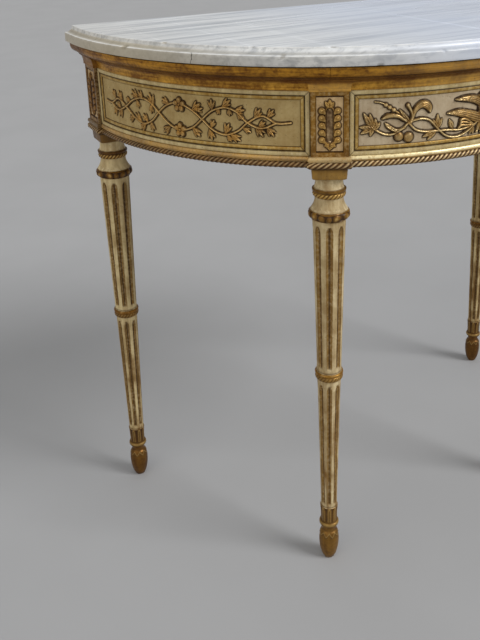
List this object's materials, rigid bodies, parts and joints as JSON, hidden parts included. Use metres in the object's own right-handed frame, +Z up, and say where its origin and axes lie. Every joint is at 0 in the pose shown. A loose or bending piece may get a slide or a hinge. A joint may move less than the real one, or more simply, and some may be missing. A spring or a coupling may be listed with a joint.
{
  "type": "demilune table",
  "caption": "Half-round console table: moulded marble slab on a painted and parcel-gilt frame with carved frieze panels and turned, fluted legs.",
  "frame": {"origin": "centre of the bounding box on the floor", "axes": "+X to the right seen from the front, +Y towards the wall, +Z up"},
  "size_m": [0.956, 0.511, 0.88],
  "materials": {
    "marble": "honed white marble with fine grey veins",
    "painted_wood": "worn cream distemper paint over gesso, gilt in the flutes and rings",
    "gilt_wood": "aged water gilding with dark brown recesses",
    "bare_wood": "unfinished aged softwood",
    "pad_felt": "dark pressed felt",
    "screw_steel": "dull steel"
  },
  "bodies": {
    "frame": {"apron_center": "painted_wood", "apron_left": "painted_wood", "apron_right": "painted_wood", "back_rail": "bare_wood", "base_band_center": "gilt_wood", "base_band_left": "gilt_wood", "base_band_right": "gilt_wood", "base_return_front_left": "gilt_wood", "base_return_front_right": "gilt_wood", "base_return_rear_left": "gilt_wood", "base_return_rear_right": "gilt_wood", "bearer_left": "bare_wood", "bearer_right": "bare_wood", "bedding_pads": "pad_felt", "block_screws": "screw_steel", "carving_center": "gilt_wood", "carving_left": "gilt_wood", "carving_right": "gilt_wood", "corner_blocks": "bare_wood", "cornice_center": "gilt_wood", "cornice_left": "gilt_wood", "cornice_right": "gilt_wood", "cove_cap_front_left": "gilt_wood", "cove_cap_front_right": "gilt_wood", "cove_cap_rear_left": "gilt_wood", "cove_cap_rear_right": "gilt_wood", "cove_center": "gilt_wood", "cove_left": "gilt_wood", "cove_right": "gilt_wood", "leg_front_left": "painted_wood", "leg_front_right": "painted_wood", "leg_rear_left": "painted_wood", "leg_rear_right": "painted_wood", "medallion_front_left": "gilt_wood", "medallion_front_right": "gilt_wood", "medallion_rear_left": "gilt_wood", "medallion_rear_right": "gilt_wood", "panel_frame_center": "painted_wood", "panel_frame_left": "painted_wood", "panel_frame_right": "painted_wood", "rope_bead_center": "gilt_wood", "rope_bead_left": "gilt_wood", "rope_bead_right": "gilt_wood", "rope_return_front_left": "gilt_wood", "rope_return_front_right": "gilt_wood", "rope_return_rear_left": "gilt_wood", "rope_return_rear_right": "gilt_wood", "tenon_pegs": "bare_wood"},
    "top": {"marble_top": "marble"}
  },
  "joints": [
    {"name": "top_lift", "type": "slide", "parent": "frame", "child": "top", "axis": [0, 0, 1], "range_m": [0, 0.12]}
  ]
}
